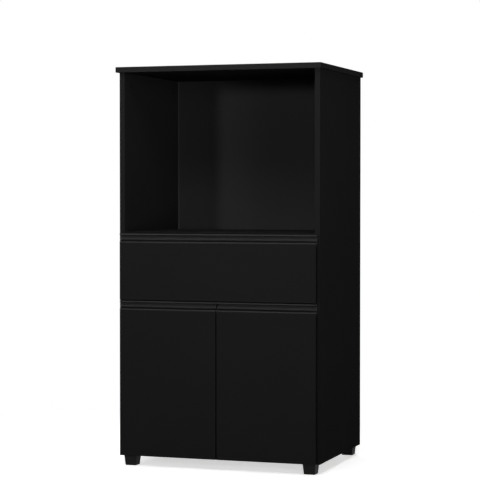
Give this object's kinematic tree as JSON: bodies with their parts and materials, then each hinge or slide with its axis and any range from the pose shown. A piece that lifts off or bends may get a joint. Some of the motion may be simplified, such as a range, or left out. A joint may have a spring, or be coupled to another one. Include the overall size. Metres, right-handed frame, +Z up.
{
  "type": "microwave stand with drawer",
  "caption": "Tall kitchen stand: open niche for a microwave oven over a wide drawer and a two-door cupboard, finger-pull profiles along the fronts, short tapered feet.",
  "frame": {"origin": "on the floor, at the middle of the whole outline seen from above", "axes": "+X to the right seen from the front, +Y towards the back, +Z up"},
  "size_m": [0.5926, 0.438, 1.108],
  "materials": {
    "carcass_board": "satin black melamine faced particle board",
    "front_board": "satin black melamine faced particle board with banded edges",
    "drawer_board": "satin black melamine faced particle board",
    "back_board": "thin hardboard, printed black on the inner face",
    "handle_plastic": "satin black extruded profile",
    "foot_plastic": "moulded, satin",
    "cap_plastic": "thin moulded caps in the boards' black",
    "dowel_wood": "raw beech",
    "zinc_casting": "tumbled zinc",
    "zinc_steel": "zinc plated",
    "slide_steel": "black powder coat",
    "roller_plastic": "white moulded",
    "hinge_nickel": "nickel plated",
    "bumper_plastic": "soft translucent"
  },
  "bodies": {
    "cabinet": {"back_nails": "zinc_steel", "bottom_board": "carcass_board", "cabinet_roller_axles": "zinc_steel", "cabinet_screws": "zinc_steel", "cam_bolts": "zinc_steel", "cam_caps": "cap_plastic", "cam_drums": "zinc_casting", "cupboard_shelf": "carcass_board", "dowels": "dowel_wood", "drawer_rail": "carcass_board", "foot_front_left": "foot_plastic", "foot_front_right": "foot_plastic", "foot_rear_left": "foot_plastic", "foot_rear_right": "foot_plastic", "foot_screws": "zinc_steel", "hinge_arm_screws": "hinge_nickel", "hinge_arms": "hinge_nickel", "hinge_plates": "hinge_nickel", "left_cabinet_rail": "slide_steel", "left_side": "carcass_board", "lower_back": "back_board", "niche_floor": "carcass_board", "right_cabinet_rail": "slide_steel", "right_side": "carcass_board", "shelf_pins": "zinc_steel", "top_board": "carcass_board", "upper_back": "back_board"},
    "cabinet_rollers": {"cabinet_rollers": "roller_plastic"},
    "drawer": {"drawer_back": "drawer_board", "drawer_bottom": "back_board", "drawer_box_screws": "zinc_steel", "drawer_bumpers": "bumper_plastic", "drawer_cam_bolts": "zinc_steel", "drawer_cam_caps": "cap_plastic", "drawer_cam_drums": "zinc_casting", "drawer_dowels": "dowel_wood", "drawer_front": "front_board", "drawer_handle": "handle_plastic", "drawer_left_side": "drawer_board", "drawer_right_side": "drawer_board", "drawer_roller_axles": "zinc_steel", "left_drawer_runner": "slide_steel", "right_drawer_runner": "slide_steel", "runner_screws": "zinc_steel"},
    "drawer_rollers": {"drawer_rollers": "roller_plastic"},
    "left_links": {"left_hinge_links": "hinge_nickel"},
    "left_door": {"left_cup_screws": "zinc_steel", "left_door": "front_board", "left_door_bumpers": "bumper_plastic", "left_door_handle": "handle_plastic", "left_hinge_cups": "hinge_nickel"},
    "right_links": {"right_hinge_links": "hinge_nickel"},
    "right_door": {"right_cup_screws": "zinc_steel", "right_door": "front_board", "right_door_bumpers": "bumper_plastic", "right_door_handle": "handle_plastic", "right_hinge_cups": "hinge_nickel"}
  },
  "joints": [
    {"name": "drawer_slide", "type": "slide", "parent": "cabinet", "child": "drawer", "axis": [0, -1, 0], "range_m": [0, 0.3]},
    {"name": "cabinet_roller_spin", "type": "hinge", "parent": "cabinet", "child": "cabinet_rollers", "pos_m": [0, -0.186, 0.4922], "axis": [1, 0, 0], "range_deg": [0, 2025]},
    {"name": "drawer_roller_spin", "type": "hinge", "parent": "drawer", "child": "drawer_rollers", "pos_m": [0, 0.179, 0.4922], "axis": [1, 0, 0], "range_deg": [0, 2025]},
    {"name": "left_link_swing", "type": "hinge", "parent": "cabinet", "child": "left_links", "pos_m": [-0.251, -0.2065, 0], "axis": [0, 0, 1], "range_deg": [0, 22.01]},
    {"name": "left_door_hinge", "type": "hinge", "parent": "left_links", "child": "left_door", "pos_m": [-0.2748, -0.2069, 0], "axis": [0, 0, -1], "range_deg": [0, 117]},
    {"name": "right_link_swing", "type": "hinge", "parent": "cabinet", "child": "right_links", "pos_m": [0.251, -0.2065, 0], "axis": [0, 0, -1], "range_deg": [0, 22.01]},
    {"name": "right_door_hinge", "type": "hinge", "parent": "right_links", "child": "right_door", "pos_m": [0.2748, -0.2069, 0], "axis": [0, 0, 1], "range_deg": [0, 117]}
  ],
  "couplings": [
    {"joint": "cabinet_roller_spin", "follows": "drawer_slide", "rad_per_m": 117.65},
    {"joint": "drawer_roller_spin", "follows": "drawer_slide", "rad_per_m": 117.65},
    {"joint": "left_link_swing", "follows": "left_door_hinge", "ratio": 0.18803},
    {"joint": "right_link_swing", "follows": "right_door_hinge", "ratio": 0.18803}
  ]
}
